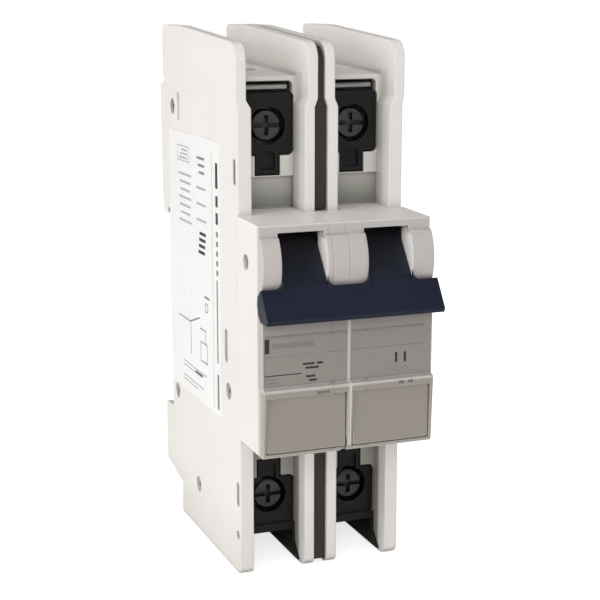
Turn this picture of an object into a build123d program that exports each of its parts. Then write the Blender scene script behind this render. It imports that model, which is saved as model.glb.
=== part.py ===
from build123d import *
import os
from math import cos, radians, sin

# Two-pole DIN-rail miniature circuit breaker with tall barrier walls beside its screw terminals.
# Millimetres. X runs across the poles, -Y points out of the panel to the user, +Z is up.
# The origin is the centre of the seat on the mounting rail, on the rail's front face.

os.makedirs("parts", exist_ok=True)

# ---- driving dimensions ----
pole_pitch = 17.75          # one pole's width at the nose
nose_half_height = 22.5     # the nose fills a 45 mm panel cut-out
front_y = -63.0             # label face of the nose
shoulder_y = -42.2          # face of the body beside the terminals
wall_front_y = -48.5        # front edge of the barrier walls
rail_y = 0.0                # front face of the mounting rail
back_y = 5.4                # back of the humps above and below the rail
head_back_y = 2.0           # back edge of the upper barrier walls
foot_back_y = -6.5          # back edge of the lower barrier walls
deck_z = 49.2               # upper deck, at its front edge
foot_z = -45.0              # lower deck
wall_top_z = 58.5
wall_top_front_z = 55.9
wall_bottom_z = -52.0
joggle_z = 44.2             # height at which the walls step outward
rail_half = 17.5            # half the height of a 35 mm rail
rail_thickness = 1.0
seat_pad_half = 15.2        # half the height of the pad that rests on the rail
seat_relief = 0.3           # depth of the relief above and below the pad

body_half_width = 17.4      # the body's sides are set in from the nose's sides
split_x = 3.5               # distance of the shell joint from the middle of the breaker
seam_gap = 0.03             # half of the gap between the two poles
side_wall_inner = 16.0      # inside face of the outer side wall
cover_wall_inner = 1.3      # inside face of the wall beside the other pole

# ---- handle ----
pivot = (-53.5, 14.5)       # handle axis as (y, z)
pivot_pin_radius = 1.5
cheek_radius = 10.0
hub_radius = 5.8
handle_swing = 54.0         # degrees, OFF to ON
slot_offset = -0.4          # the handle stands a little left of its pole's centre
slot_half_width = 4.7
toggle_half_width = 4.5
running_clearance = 0.05

# ---- link, carrier and contacts ----
crank_radius = 3.555
crank_angle = 84.2
arm_pivot = (-35.69, 10.0)
arm_pin_radius = 1.0
carrier_radius = 8.007
carrier_angle = 93.1
link_wire_radius = 0.6
link_x = 5.1                # the wire's straight run, beside the toggle
contact_ratio = 0.37        # carrier turn per handle turn
arm_open_angle = contact_ratio * handle_swing
arm_thickness = 1.6
arm_length = 20.5
pad_reach = 18.8
pad_height = 1.0
pad_radius = 1.7

# ---- terminals ----
bay_centre = 9.1
bay_inner = (3.5, 14.7)     # bay side walls, as distances from the middle
screw_z = {"upper": 39.5, "lower": -37.5}
guard_thickness = 1.8
screw_hole_radius = 3.8
screw_head_radius = 3.2
screw_shank_radius = 2.0
cage_front_y = -35.4
cage_back_y = -23.6
cage_wall = 1.4
cage_half_width = 4.2
cage_half_height = 5.0

trip_axis = (-45.0, -2.0)
trip_shaft_radius = 1.5
rivet_places = [(-41.2, -14.5), (-4.2, -23.8), (-19.5, -41.5), (-25.0, 23.5), (-3.6, 41.0)]
rivet_radius = 1.2
rivet_hole_radius = 1.3
rivet_head_radius = 1.6
boss_radius = 2.6

poles = {"left": -1, "right": 1}


def polar(centre, radius, degrees):
    """The point at a radius and an angle from a centre, in (y, z)."""
    return (
        centre[0] + radius * cos(radians(degrees)),
        centre[1] + radius * sin(radians(degrees)),
    )


def slab(side, near, far):
    """The YZ plane and the thickness of a slab between two distances from the middle of the breaker."""
    return Plane.YZ.offset(min(side * near, side * far)), far - near


def along_x(x_low):
    """A YZ plane facing +X at a given X."""
    return Plane.YZ.offset(x_low)


def facing_user(y):
    """An XZ plane at a given Y, its normal towards the user."""
    return Plane.XZ.offset(-y)


def save(piece, name):
    """Labels a finished piece and writes its STEP file."""
    piece.part.label = name
    export_step(piece.part, f"parts/{name}.step")


# ---- side profiles, drawn in (y, z) ----

# Body and nose between the two decks, with the seat for the rail at the back.
with BuildSketch() as core_profile:
    with BuildLine():
        cheek_top = polar(pivot, cheek_radius, 146)
        cheek_foot = polar(pivot, cheek_radius, 208)
        Polyline((-42.2, 22.9), (-61.1, 22.5), (-61.1, 20.2), cheek_top)
        ThreePointArc(cheek_top, polar(pivot, cheek_radius, 180), cheek_foot)
        Polyline(
            cheek_foot, (-60.9, 7.6), (front_y, 5.9), (front_y, -8.6), (-63.9, -8.9), (-63.9, -10.0),
            (-63.3, -22.0), (-62.8, -nose_half_height), (shoulder_y, -nose_half_height),
            (shoulder_y, foot_z), (foot_back_y, foot_z), (back_y, -42.6), (back_y, -28.8),
            (-seat_relief, -28.2), (-seat_relief, -seat_pad_half - 0.3), (rail_y, -seat_pad_half),
            (rail_y, seat_pad_half), (-seat_relief, seat_pad_half + 0.3),
            (-seat_relief, rail_half + 0.3), (rail_thickness + 0.3, rail_half + 0.3),
            (rail_thickness + 0.3, rail_half - 1.0), (4.4, rail_half - 1.0), (back_y, 20.6),
            (back_y, 45.2), (head_back_y, 46.2), (head_back_y, 51.2), (-31.0, 49.8),
            (shoulder_y, deck_z), (-42.2, 22.9),
        )
    make_face()

# The hollow inside the shells.
with BuildSketch() as cavity_profile:
    with BuildLine():
        Polyline(
            (-40.4, 21.0), (-59.4, 20.8), (-59.4, 18.2), (-61.4, 17.4), (-61.8, 14.5), (-61.4, 11.5),
            (-60.2, 8.4), (-61.2, 5.0), (-61.2, -8.0), (-60.6, -10.0), (-60.6, -20.7),
            (-40.4, -20.7), (-40.4, -43.2), (-8.5, -43.2), (-1.8, -41.8), (-1.8, 20.4), (3.6, 22.4),
            (3.6, 43.8), (0.0, 44.8), (0.0, 48.6), (-31.0, 48.2), (-40.4, 48.0), (-40.4, 21.0),
        )
    make_face()

# Outline of the barrier walls; its inner part is buried in the body.
with BuildSketch() as wall_profile:
    with BuildLine():
        Polyline(
            (wall_front_y, wall_bottom_z), (wall_front_y, wall_top_front_z), (-12.0, wall_top_z),
            (head_back_y, wall_top_z), (head_back_y, 47.0), (-12.0, 40.0), (-12.0, -38.0),
            (foot_back_y, foot_z + 1.0), (foot_back_y, wall_bottom_z), (wall_front_y, wall_bottom_z),
        )
    make_face()
    fillet(wall_profile.vertices().group_by(Axis.Y)[0].sort_by(Axis.X)[0], 2.2)
    fillet(wall_profile.vertices().sort_by(Axis.X).filter_by(lambda v: v.Y > 50)[0], 3.6)
    fillet(wall_profile.vertices().sort_by(Axis.Y)[-1], 1.5)


def wall_section(side, outer, inner, outer_head, inner_head):
    """Front section of a barrier wall, which steps outward in its head."""
    with BuildSketch() as section:
        with BuildLine():
            Polyline(
                (side * outer, -60), (side * outer, joggle_z - 0.8), (side * outer_head, joggle_z + 0.8),
                (side * outer_head, 65), (side * inner_head, 65), (side * inner_head, joggle_z + 0.8),
                (side * inner, joggle_z - 0.8), (side * inner, -60), (side * outer, -60),
            )
        make_face()
    return section.sketch


def barrier_wall(side, outer, inner, outer_head, inner_head):
    """One barrier wall: the front section cut to the side outline, its front edges rounded."""
    with BuildPart() as wall:
        with BuildSketch(facing_user(back_y)):
            add(wall_section(side, outer, inner, outer_head, inner_head))
        extrude(amount=back_y - wall_front_y)
        with BuildSketch(Plane.YZ.offset(-25)):
            add(wall_profile.sketch)
        extrude(amount=50, mode=Mode.INTERSECT)
    return wall.part


def slot_centre(side):
    return side * pole_pitch / 2 + slot_offset


def terminal_opening(zone, grow):
    """Front outline of a terminal opening: a wide mouth for the clamp and a narrow neck below it."""
    sign = 1 if zone == "upper" else -1
    mouth_far = 46.1 if zone == "upper" else 44.6
    mouth_near = 33.6
    neck_near = 29.6
    with BuildSketch() as opening:
        with Locations((0, sign * (mouth_near + mouth_far) / 2)):
            RectangleRounded(11.0 + 2 * grow, mouth_far - mouth_near + 2 * grow, 1.2)
        with Locations((0, sign * (neck_near + mouth_near + 2) / 2)):
            Rectangle(5.2 + 2 * grow, mouth_near + 2 - neck_near + 2 * grow)
    return opening.sketch


def slot_side_wall(side, near, far):
    """Fills the hollow beside the handle slot, so that the slot has a deep side wall."""
    plane, depth = slab(side, near, far)
    with BuildPart() as wall:
        with BuildSketch(plane):
            add(cavity_profile.sketch)
            with Locations((-60.4, 13.2)):
                Rectangle(5.0, 15.6, mode=Mode.INTERSECT)
        extrude(amount=depth)
    return wall.part


def case_shell(side):
    """Outer shell of one pole: side wall, front, decks and the outer barrier wall."""
    centre = side * bay_centre
    with BuildPart() as shell:
        plane, depth = slab(side, split_x, body_half_width)
        with BuildSketch(plane):
            add(core_profile.sketch)
        extrude(amount=depth)
        # the nose is a little wider than the body
        plane, depth = slab(side, body_half_width - 1, pole_pitch)
        with BuildSketch(plane):
            add(core_profile.sketch)
            with Locations((wall_front_y + 50, 0)):
                Rectangle(100, 140, mode=Mode.SUBTRACT)
        extrude(amount=depth)
        add(barrier_wall(side, body_half_width, bay_inner[1], pole_pitch, 15.7))
        # hollow
        plane, depth = slab(side, split_x, side_wall_inner)
        with BuildSketch(plane):
            add(cavity_profile.sketch)
        extrude(amount=depth, mode=Mode.SUBTRACT)
        # bosses for the rivets, the contact pin and the trip shaft
        plane, depth = slab(side, split_x, side_wall_inner)
        with BuildSketch(plane):
            with Locations(*rivet_places):
                Circle(boss_radius)
        extrude(amount=depth)
        plane, depth = slab(side, side_wall_inner - 2.0, side_wall_inner)
        with BuildSketch(plane):
            with Locations(arm_pivot, trip_axis):
                Circle(2.4)
            with Locations(arm_pivot):
                Circle(arm_pin_radius + running_clearance, mode=Mode.SUBTRACT)
            with Locations(trip_axis):
                Circle(trip_shaft_radius + running_clearance, mode=Mode.SUBTRACT)
        extrude(amount=depth)
        # handle slot through the curved cheeks, with deep side walls
        slot_near = side * slot_centre(side) - slot_half_width
        slot_far = side * slot_centre(side) + slot_half_width
        add(slot_side_wall(side, split_x, slot_near))
        add(slot_side_wall(side, slot_far, slot_far + 1.2))
        with BuildSketch(facing_user(-58.0)):
            with Locations((slot_centre(side), 13.0)):
                Rectangle(2 * slot_half_width, 16.0)
        extrude(amount=8.0, mode=Mode.SUBTRACT)
        # terminal openings, with a gap over the upper one for the tongue of the line bar
        for zone in screw_z:
            with BuildSketch(facing_user(-40.0)):
                with Locations((centre, 0)):
                    add(terminal_opening(zone, 0.1))
            extrude(amount=3.0, mode=Mode.SUBTRACT)
        with BuildSketch(facing_user(-40.0)):
            with Locations((centre, 46.8)):
                RectangleRounded(10.6, 3.0, 0.9)
        extrude(amount=3.0, mode=Mode.SUBTRACT)
        # wire entries through the decks
        with BuildSketch(Plane.XY.offset(55)):
            with Locations((centre - 0.6, -27.6)):
                RectangleRounded(5.8, 6.2, 1.5)
        extrude(amount=-8.0, mode=Mode.SUBTRACT)
        with BuildSketch(Plane.XY.offset(-50)):
            with Locations((centre - 0.6, -27.6)):
                RectangleRounded(5.8, 6.2, 1.5)
        extrude(amount=8.0, mode=Mode.SUBTRACT)
        # label recess and marker recess on the front
        with BuildSketch(facing_user(front_y + 0.35)):
            with Locations((side * (split_x + 17.45) / 2, -3.6)):
                Rectangle(17.45 - split_x, 9.6)
        extrude(amount=5.0, mode=Mode.SUBTRACT)
        with BuildSketch(facing_user(-62.1)):
            with Locations((side * (split_x + 17.2) / 2, -16.1)):
                Rectangle(17.2 - split_x, 11.2)
        extrude(amount=5.0, mode=Mode.SUBTRACT)
        # shoulder set back below the upper terminal
        with BuildSketch(facing_user(shoulder_y + 1.0)):
            with Locations((centre, 26.1)):
                Rectangle(11.4, 6.4)
        extrude(amount=3.0, mode=Mode.SUBTRACT)
        # pry slots in the lip
        with BuildSketch(facing_user(-63.3)):
            if side < 0:
                with Locations((-5.6, -10.0)):
                    Rectangle(2.8, 0.6)
            else:
                with Locations((10.9, -9.6), (12.9, -9.6)):
                    Rectangle(1.2, 0.6)
        extrude(amount=2.0, mode=Mode.SUBTRACT)
        # channel for the rail clip, behind the seat
        with BuildSketch(Plane.XY.offset(-60)):
            with Locations((side * pole_pitch / 2, 2.6)):
                Rectangle(7.4, 2.8)
        extrude(amount=44.0, mode=Mode.SUBTRACT)
        # spring post in the channel
        with BuildSketch(Plane.XY.offset(-40.6)):
            with Locations((side * pole_pitch / 2, 2.6)):
                Rectangle(2.4, 2.8)
        extrude(amount=1.8)
        # side details: grip groove, sight slots and the recess stripe
        plane, depth = slab(side, body_half_width - 0.5, body_half_width + 0.5)
        with BuildSketch(plane):
            with Locations((-46.0, 31.0), (-46.6, -35.0)):
                SlotOverall(5.2, 1.6, rotation=90)
            with Locations((-8.2, 41.2)):
                SlotOverall(6.4, 2.0, rotation=90)
            with Locations((-39.8, -5.2)):
                SlotOverall(7.0, 1.8, rotation=90)
            with Locations((-46.4, -43.8)):
                Circle(0.9)
        extrude(amount=depth, mode=Mode.SUBTRACT)
        # holes for the handle pin and the rivets
        plane, depth = slab(side, 0, pole_pitch + 1)
        with BuildSketch(plane):
            with Locations(pivot):
                Circle(pivot_pin_radius + running_clearance)
            with Locations(*rivet_places):
                Circle(rivet_hole_radius)
        extrude(amount=depth, mode=Mode.SUBTRACT)
        # countersinks for the rivet heads
        plane, depth = slab(side, body_half_width - 0.7, body_half_width + 1)
        with BuildSketch(plane):
            with Locations(*rivet_places):
                Circle(rivet_head_radius + 0.1)
        extrude(amount=depth, mode=Mode.SUBTRACT)
    return shell


def case_cover(side):
    """Inner shell of one pole: the wall beside the other pole, the joint rim and the inner barrier wall."""
    with BuildPart() as cover:
        plane, depth = slab(side, seam_gap, split_x)
        with BuildSketch(plane):
            add(core_profile.sketch)
        extrude(amount=depth)
        add(barrier_wall(side, 1.45, bay_inner[0], 0.8, 2.8))
        plane, depth = slab(side, cover_wall_inner, split_x)
        with BuildSketch(plane):
            add(cavity_profile.sketch)
        extrude(amount=depth, mode=Mode.SUBTRACT)
        with BuildSketch(plane):
            with Locations(*rivet_places):
                Circle(boss_radius)
        extrude(amount=depth)
        add(slot_side_wall(side, cover_wall_inner, split_x))
        plane, depth = slab(side, cover_wall_inner, cover_wall_inner + 1.2)
        with BuildSketch(plane):
            with Locations(arm_pivot):
                Circle(2.4)
                Circle(arm_pin_radius + running_clearance, mode=Mode.SUBTRACT)
        extrude(amount=depth)
        with BuildSketch(facing_user(front_y + 0.35)):
            with Locations((side * (0.3 + split_x) / 2, -3.6)):
                Rectangle(split_x - 0.3, 9.6)
        extrude(amount=5.0, mode=Mode.SUBTRACT)
        with BuildSketch(facing_user(-62.1)):
            with Locations((side * (0.6 + split_x) / 2, -16.1)):
                Rectangle(split_x - 0.6, 11.2)
        extrude(amount=5.0, mode=Mode.SUBTRACT)
        if side < 0:
            # finger notch at the bottom of the joint between the poles
            with BuildSketch(facing_user(-61.8)):
                with Locations((-1.0, -21.4)):
                    Rectangle(1.2, 2.8)
            extrude(amount=3.0, mode=Mode.SUBTRACT)
        plane, depth = slab(side, 0, split_x)
        with BuildSketch(plane):
            with Locations(pivot):
                Circle(pivot_pin_radius + running_clearance)
            with Locations(trip_axis):
                Circle(trip_shaft_radius + running_clearance)
            with Locations(*rivet_places):
                Circle(rivet_hole_radius)
        extrude(amount=depth, mode=Mode.SUBTRACT)
    return cover


def section_cut(outline, half_width):
    """A sheet between the poles: an outline in (y, z), thinner between the wall heads."""
    head_half_width = half_width - 0.65
    with BuildPart() as sheet:
        with BuildSketch(facing_user(back_y)):
            with BuildLine():
                Polyline(
                    (-half_width, -60), (-half_width, joggle_z - 0.8), (-head_half_width, joggle_z + 0.8),
                    (-head_half_width, 60), (head_half_width, 60), (head_half_width, joggle_z + 0.8),
                    (half_width, joggle_z - 0.8), (half_width, -60), (-half_width, -60),
                )
            make_face()
        extrude(amount=60)
        with BuildSketch(along_x(-5)):
            with BuildLine():
                Polyline(*outline, close=True)
            make_face()
        extrude(amount=10, mode=Mode.INTERSECT)
    return sheet.part


def phase_barriers():
    """Dark insulating sheets that fill the slot between the poles, above and below the nose."""
    upper = [
        (-47.5, 23.1), (-47.5, 53.2), (-45.6, 55.0), (-12.0, 57.6), (1.0, 57.6), (1.0, 51.4),
        (-31.0, 50.0), (-42.4, 49.4), (-42.4, 23.1),
    ]
    lower = [
        (-47.5, -22.7), (-47.5, -51.0), (-7.4, -51.0), (-7.4, -45.2), (-42.4, -45.2), (-42.4, -22.7),
    ]
    with BuildPart() as barriers:
        add(section_cut(upper, 1.35))
        add(section_cut(lower, 1.35))
    return barriers


def toggle(side):
    """One pole's handle lever: a hub on the pivot pin, a lever through the slot and a tongue for the bar."""
    centre = slot_centre(side)
    with BuildPart() as lever:
        with BuildSketch(along_x(centre - toggle_half_width)):
            with BuildLine():
                Polyline(
                    polar(pivot, hub_radius, 142), (-63.72, 10.84), (-63.36, 9.62), (-63.25, 9.4),
                    (-63.25, 6.0), polar(pivot, hub_radius, 286), pivot, close=True,
                )
            make_face()
            with Locations(pivot):
                Circle(hub_radius)
        extrude(amount=2 * toggle_half_width)
        with BuildSketch(along_x(centre - 3.4)):
            with BuildLine():
                Polyline((-63.0, 9.4), (-64.5, 9.0), (-65.9, 6.6), (-65.9, 5.8), (-63.0, 5.8), close=True)
            make_face()
        extrude(amount=6.8)
        with BuildSketch(along_x(centre - 6)):
            with Locations(pivot):
                Circle(pivot_pin_radius + running_clearance)
            with Locations(polar(pivot, crank_radius, crank_angle)):
                Circle(link_wire_radius + running_clearance)
            with Locations(tie_pin_place):
                Circle(tie_pin_radius + running_clearance)
        extrude(amount=12, mode=Mode.SUBTRACT)
    return lever


tie_pin_place = (-64.6, 7.4)
tie_pin_radius = 0.75
bar_half_width = 18.35
bar_end_x = 17.9


def handle_tie_bar():
    """The bar that joins both levers: flared roots, pockets for their tongues and ends that lap the nose."""
    flare_radius = 1.9
    with BuildPart() as bar:
        with BuildSketch(along_x(-bar_half_width)):
            with BuildLine():
                Polyline(
                    (-63.75, 10.8), (-67.4, 5.4), (-67.1, 4.6), (-63.4, 4.6), (-63.32, 6.0), (-63.4, 9.62),
                    close=True,
                )
            make_face()
        extrude(amount=2 * bar_half_width)
        for side in poles.values():
            for hand in (-1, 1):
                root = slot_centre(side) + hand * (toggle_half_width + 0.03)
                foot = root + hand * flare_radius
                waist = flare_radius * (1 - cos(radians(45)))
                with BuildSketch(facing_user(-63.4)):
                    with BuildLine():
                        Polyline((root, 12.6), (root, 10.2), (foot, 10.2), (foot, 10.7))
                        ThreePointArc((foot, 10.7), (root + hand * waist, 10.7 + waist), (root, 12.6))
                    make_face()
                extrude(amount=0.5)
        # end laps
        for side in poles.values():
            plane, depth = slab(side, bar_end_x, bar_half_width)
            with BuildSketch(plane):
                with BuildLine():
                    Polyline(
                        (-63.4, 10.6), (-61.8, 9.2), (-61.6, 7.6), (-62.2, 5.8), (-63.6, 4.6),
                        (-66.0, 5.0), (-65.0, 8.9), close=True,
                    )
                make_face()
            extrude(amount=depth)
        for side in poles.values():
            with BuildSketch(along_x(slot_centre(side) - 3.45)):
                with BuildLine():
                    Polyline(
                        (-62.9, 9.45), (-64.55, 9.05), (-65.95, 6.65), (-65.95, 5.75), (-62.9, 5.75),
                        close=True,
                    )
                make_face()
            extrude(amount=6.9, mode=Mode.SUBTRACT)
        with BuildSketch(along_x(-17.6)):
            with Locations(tie_pin_place):
                Circle(tie_pin_radius + running_clearance)
        extrude(amount=35.2, mode=Mode.SUBTRACT)
    return bar


def round_pin(place, radius, x_low, x_high):
    """A plain pin along X."""
    with BuildPart() as pin:
        with BuildSketch(along_x(x_low)):
            with Locations(place):
                Circle(radius)
        extrude(amount=x_high - x_low)
        chamfer(pin.edges().filter_by(GeomType.CIRCLE), 0.2)
    return pin


def link(side):
    """Bent wire from the lever's crank hole to the contact carrier."""
    start = polar(pivot, crank_radius, crank_angle)
    finish = polar(arm_pivot, carrier_radius, carrier_angle)
    run = Vector(0, finish[0] - start[0], finish[1] - start[1])
    link_plane = Plane(
        origin=(side * pole_pitch / 2, start[0], start[1]), x_dir=(1, 0, 0),
        z_dir=Vector(1, 0, 0).cross(run),
    )
    with BuildPart() as wire:
        with BuildLine(link_plane) as path:
            FilletPolyline((1.4, 0), (link_x, 0), (link_x, run.length), (-1.0, run.length), radius=1.0)
        with BuildSketch(Plane(origin=path.line @ 0, z_dir=path.line % 0)):
            Circle(link_wire_radius)
        sweep()
    return wire


def carrier(side):
    """Moulded contact carrier: turns on its pin, pulled by the link, and holds the moving contact."""
    middle = side * pole_pitch / 2
    link_hole = polar(arm_pivot, carrier_radius, carrier_angle)
    with BuildPart() as body:
        with BuildSketch(along_x(middle - 3.2)):
            with Locations(arm_pivot):
                Circle(3.2)
                Rectangle(9.0, 4.4, rotation=arm_open_angle, align=(Align.MIN, Align.CENTER))
                Rectangle(carrier_radius, 3.6, rotation=carrier_angle, align=(Align.MIN, Align.CENTER))
            with Locations(link_hole):
                Circle(1.8)
            with Locations(arm_pivot):
                Circle(arm_pin_radius + running_clearance, mode=Mode.SUBTRACT)
            with Locations(link_hole):
                Circle(link_wire_radius + 0.4, mode=Mode.SUBTRACT)
        extrude(amount=6.4)
        with BuildSketch(along_x(middle - 2.05)):
            with Locations(arm_pivot):
                with Locations(Location((0, 0), arm_open_angle)):
                    with Locations((2.0, 0)):
                        Rectangle(10.0, arm_thickness + 0.1, align=(Align.MIN, Align.CENTER))
        extrude(amount=4.1, mode=Mode.SUBTRACT)
    return body


def moving_contact(side):
    """Copper contact arm with its round pad, shown open."""
    middle = side * pole_pitch / 2
    along_arm = (0, cos(radians(arm_open_angle)), sin(radians(arm_open_angle)))
    arm_plane = Plane(origin=(middle, arm_pivot[0], arm_pivot[1]), x_dir=along_arm, z_dir=(1, 0, 0))
    with BuildPart() as arm:
        with BuildSketch(arm_plane.offset(-2.0)):
            with Locations((2.1, 0)):
                Rectangle(arm_length - 2.1, arm_thickness, align=(Align.MIN, Align.CENTER))
        extrude(amount=4.0)
        pad_plane = Plane(
            origin=arm_plane.from_local_coords(Vector(pad_reach, -arm_thickness / 2, 0)),
            z_dir=-arm_plane.y_dir,
        )
        with BuildSketch(pad_plane):
            Circle(pad_radius)
        extrude(amount=pad_height)
    return arm


def bent_bar(points, thickness, x_low, width):
    """A strip bent along a path of (y, z) points."""
    with BuildPart() as bar:
        with BuildSketch(along_x(x_low)):
            with BuildLine():
                Polyline(*points)
            trace(line_width=thickness)
        extrude(amount=width)
    return bar.part


def line_bar(side):
    """Line-side conductor: a lip over the guard, the tongue inside the cage and the run to the coil."""
    middle = side * bay_centre
    with BuildPart() as bar:
        with BuildSketch(along_x(middle - 4.3)):
            with Locations((-36.25, 47.05)):
                Rectangle(11.1, 1.3)
        extrude(amount=8.6)
        fillet(bar.edges().filter_by(Axis.X).sort_by(Axis.Y)[:2], 0.6)
        add(bent_bar([(-31.45, 47.7), (-31.45, 29.2), (-22.6, 29.2)], 1.5, middle - 2.5, 5.0))
    return bar


def fixed_contact(side):
    """Fixed contact on a strip from the coil, with an arc horn turned down at its front end."""
    middle = side * pole_pitch / 2
    top = arm_pivot[1] - arm_thickness / 2 - pad_height - running_clearance
    with BuildPart() as strip:
        path = [(-4.9, 23.5), (-4.9, 6.4), (-20.8, 6.4), (-22.8, 4.2), (-22.8, -2.6)]
        add(bent_bar(path, 1.4, middle - 2.5, 5.0))
        with BuildSketch(Plane.XY.offset(6.4)):
            with Locations((middle, arm_pivot[0] + pad_reach)):
                Circle(pad_radius)
        extrude(amount=top - 6.4)
    return strip


coil_y = -15.5


def coil(side):
    """Series coil: a helical copper winding."""
    with BuildPart() as winding:
        with BuildLine(Plane(origin=(side * pole_pitch / 2, coil_y, 27.4))) as path:
            Helix(pitch=1.75, height=14.0, radius=4.35)
        with BuildSketch(Plane(origin=path.line @ 0, z_dir=path.line % 0)):
            Circle(0.7)
        sweep(is_frenet=True)
    return winding


def coil_bobbins():
    with BuildPart() as bobbins:
        for side in poles.values():
            for low, high, radius in ((25.2, 43.4, 3.4), (25.2, 26.2, 5.6), (42.4, 43.4, 5.6)):
                with BuildSketch(Plane.XY.offset(low)):
                    with Locations((side * pole_pitch / 2, coil_y)):
                        Circle(radius)
                extrude(amount=high - low)
            with BuildSketch(Plane.XY.offset(25.2)):
                with Locations((side * pole_pitch / 2, coil_y)):
                    Circle(2.35)
            extrude(amount=18.2, mode=Mode.SUBTRACT)
    return bobbins


def coil_yokes():
    """Steel frames around the coils, open towards the user."""
    with BuildPart() as yokes:
        for side in poles.values():
            with BuildSketch(along_x(side * pole_pitch / 2 - 4.5)):
                with BuildLine():
                    Polyline(
                        (-20.8, 43.5), (-20.8, 44.7), (-7.6, 44.7), (-7.6, 23.9), (-20.8, 23.9),
                        (-20.8, 25.1), (-8.8, 25.1), (-8.8, 43.5), close=True,
                    )
                make_face()
            extrude(amount=9.0)
            with BuildSketch(Plane.XY.offset(23.0)):
                with Locations((side * pole_pitch / 2, coil_y)):
                    Circle(1.0)
            extrude(amount=3.0, mode=Mode.SUBTRACT)
    return yokes


def plunger(side):
    """Steel plunger in the coil, with the striker pin that trips the contacts."""
    with BuildPart() as core:
        for low, high, radius in ((31.0, 42.0, 2.3 - running_clearance), (22.0, 31.0, 0.7)):
            with BuildSketch(Plane.XY.offset(low)):
                with Locations((side * pole_pitch / 2, coil_y)):
                    Circle(radius)
            extrude(amount=high - low)
    return core


def arc_chute(side):
    """Stack of notched splitter plates between two insulating cards."""
    middle = side * pole_pitch / 2
    with BuildPart() as chute:
        with BuildSketch(Plane.XY.offset(-22.6)) as plate:
            with Locations((middle, -14.0)):
                Rectangle(11.0, 13.0)
            with BuildLine():
                Polyline((middle - 2.4, -21), (middle, -13.5), (middle + 2.4, -21), close=True)
            make_face(mode=Mode.SUBTRACT)
        with Locations(*[(0, 0, -22.6 + 2.3 * step) for step in range(10)]):
            add(extrude(plate.sketch, amount=1.0, dir=(0, 0, 1), mode=Mode.PRIVATE).translate((0, 0, 22.6)))
        for offset in (-6.3, 5.5):
            with BuildSketch(along_x(middle + offset)):
                with Locations((-14.0, -11.9)):
                    Rectangle(13.6, 22.6)
            extrude(amount=0.8)
    return chute


def load_bar(side):
    """Load-side conductor: the tongue inside the lower cage and the foot of the bimetal."""
    with BuildPart() as bar:
        path = [(-31.45, -42.8), (-31.45, -24.8), (-36.15, -24.8), (-36.15, -19.0)]
        add(bent_bar(path, 1.5, side * bay_centre - 2.5, 5.0))
    return bar


def bimetal(side):
    """Bimetal strip, fixed at its foot and free at its top."""
    with BuildPart() as strip:
        with BuildSketch(along_x(side * bay_centre - 2.5)):
            with Locations((-37.35, -12.2)):
                Rectangle(0.8, 15.6)
        extrude(amount=5.0)
    return strip


def contact_braids():
    """Flexible copper braids from the bimetals to the moving contacts."""
    with BuildPart() as braids:
        for side in poles.values():
            middle = side * bay_centre
            with BuildLine() as path:
                Spline(
                    (middle, -36.0, -6.5), (middle, -33.4, -5.4), (middle, -30.2, 1.0), (middle, -30.6, 7.0),
                    tangents=((0, 1, 0), (0, 0, 1)),
                )
            with BuildSketch(Plane(origin=path.line @ 0, z_dir=path.line % 0)):
                Circle(0.8)
            sweep()
    return braids


def trip_lever(side):
    """Trip lever on the common shaft, one arm in front of the bimetal and one towards the carrier."""
    with BuildPart() as lever:
        with BuildSketch(along_x(side * pole_pitch / 2 - 2.0)):
            with Locations(trip_axis):
                Circle(2.8)
            for tip in ((-40.7, -5.0), (-42.4, 5.0)):
                with BuildLine():
                    Line(trip_axis, tip)
                trace(line_width=2.0)
                with Locations(tip):
                    Circle(1.0)
            with Locations(trip_axis):
                Circle(trip_shaft_radius + 0.02, mode=Mode.SUBTRACT)
        extrude(amount=4.0)
    return lever


def terminal_guard(side, zone):
    """Black insert in a terminal opening, with the screwdriver hole and a recessed neck."""
    sign = 1 if zone == "upper" else -1
    with BuildPart() as guard:
        with BuildSketch(facing_user(shoulder_y + guard_thickness)):
            with Locations((side * bay_centre, 0)):
                add(terminal_opening(zone, 0))
        extrude(amount=guard_thickness - 0.05)
        fillet(guard.faces().sort_by(Axis.Y)[0].edges(), 0.45)
        with BuildSketch(facing_user(-38)):
            with Locations((side * bay_centre, screw_z[zone])):
                Circle(screw_hole_radius)
        extrude(amount=6, mode=Mode.SUBTRACT)
        with BuildSketch(facing_user(shoulder_y + 0.9)):
            with Locations((side * bay_centre, sign * 32.4)):
                RectangleRounded(3.2, 3.6, 0.6)
        extrude(amount=2, mode=Mode.SUBTRACT)
        if zone == "lower":
            # black lining that runs from the insert down the inside of both barrier walls
            near, far = bay_inner
            plane, depth = slab(side, near + 0.05, far - 0.05)
            with BuildSketch(plane):
                with BuildLine():
                    Polyline(
                        (-42.75, -44.0), (-42.25, -44.0), (-42.25, -45.05), (-18.0, -45.05),
                        (-18.0, -51.4), (-45.6, -51.4), (-42.75, -48.2), close=True,
                    )
                make_face()
            extrude(amount=depth)
            plane, depth = slab(side, bay_centre - 4.0, bay_centre + 4.0)
            with BuildSketch(plane):
                with Locations((-42.1, -44.2)):
                    Rectangle(1.2, 0.6)
            extrude(amount=depth)
            plane, depth = slab(side, near + 0.55, far - 0.55)
            with BuildSketch(plane):
                with BuildLine():
                    Polyline((-50, -45.55), (-10, -45.55), (-10, -55), (-50, -55), close=True)
                make_face()
            extrude(amount=depth, mode=Mode.SUBTRACT)
            with BuildSketch(Plane.XY.offset(-50)):
                with Locations((side * bay_centre - 0.6, -27.6)):
                    RectangleRounded(6.2, 6.6, 1.6)
            extrude(amount=6, mode=Mode.SUBTRACT)
    return guard


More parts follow.
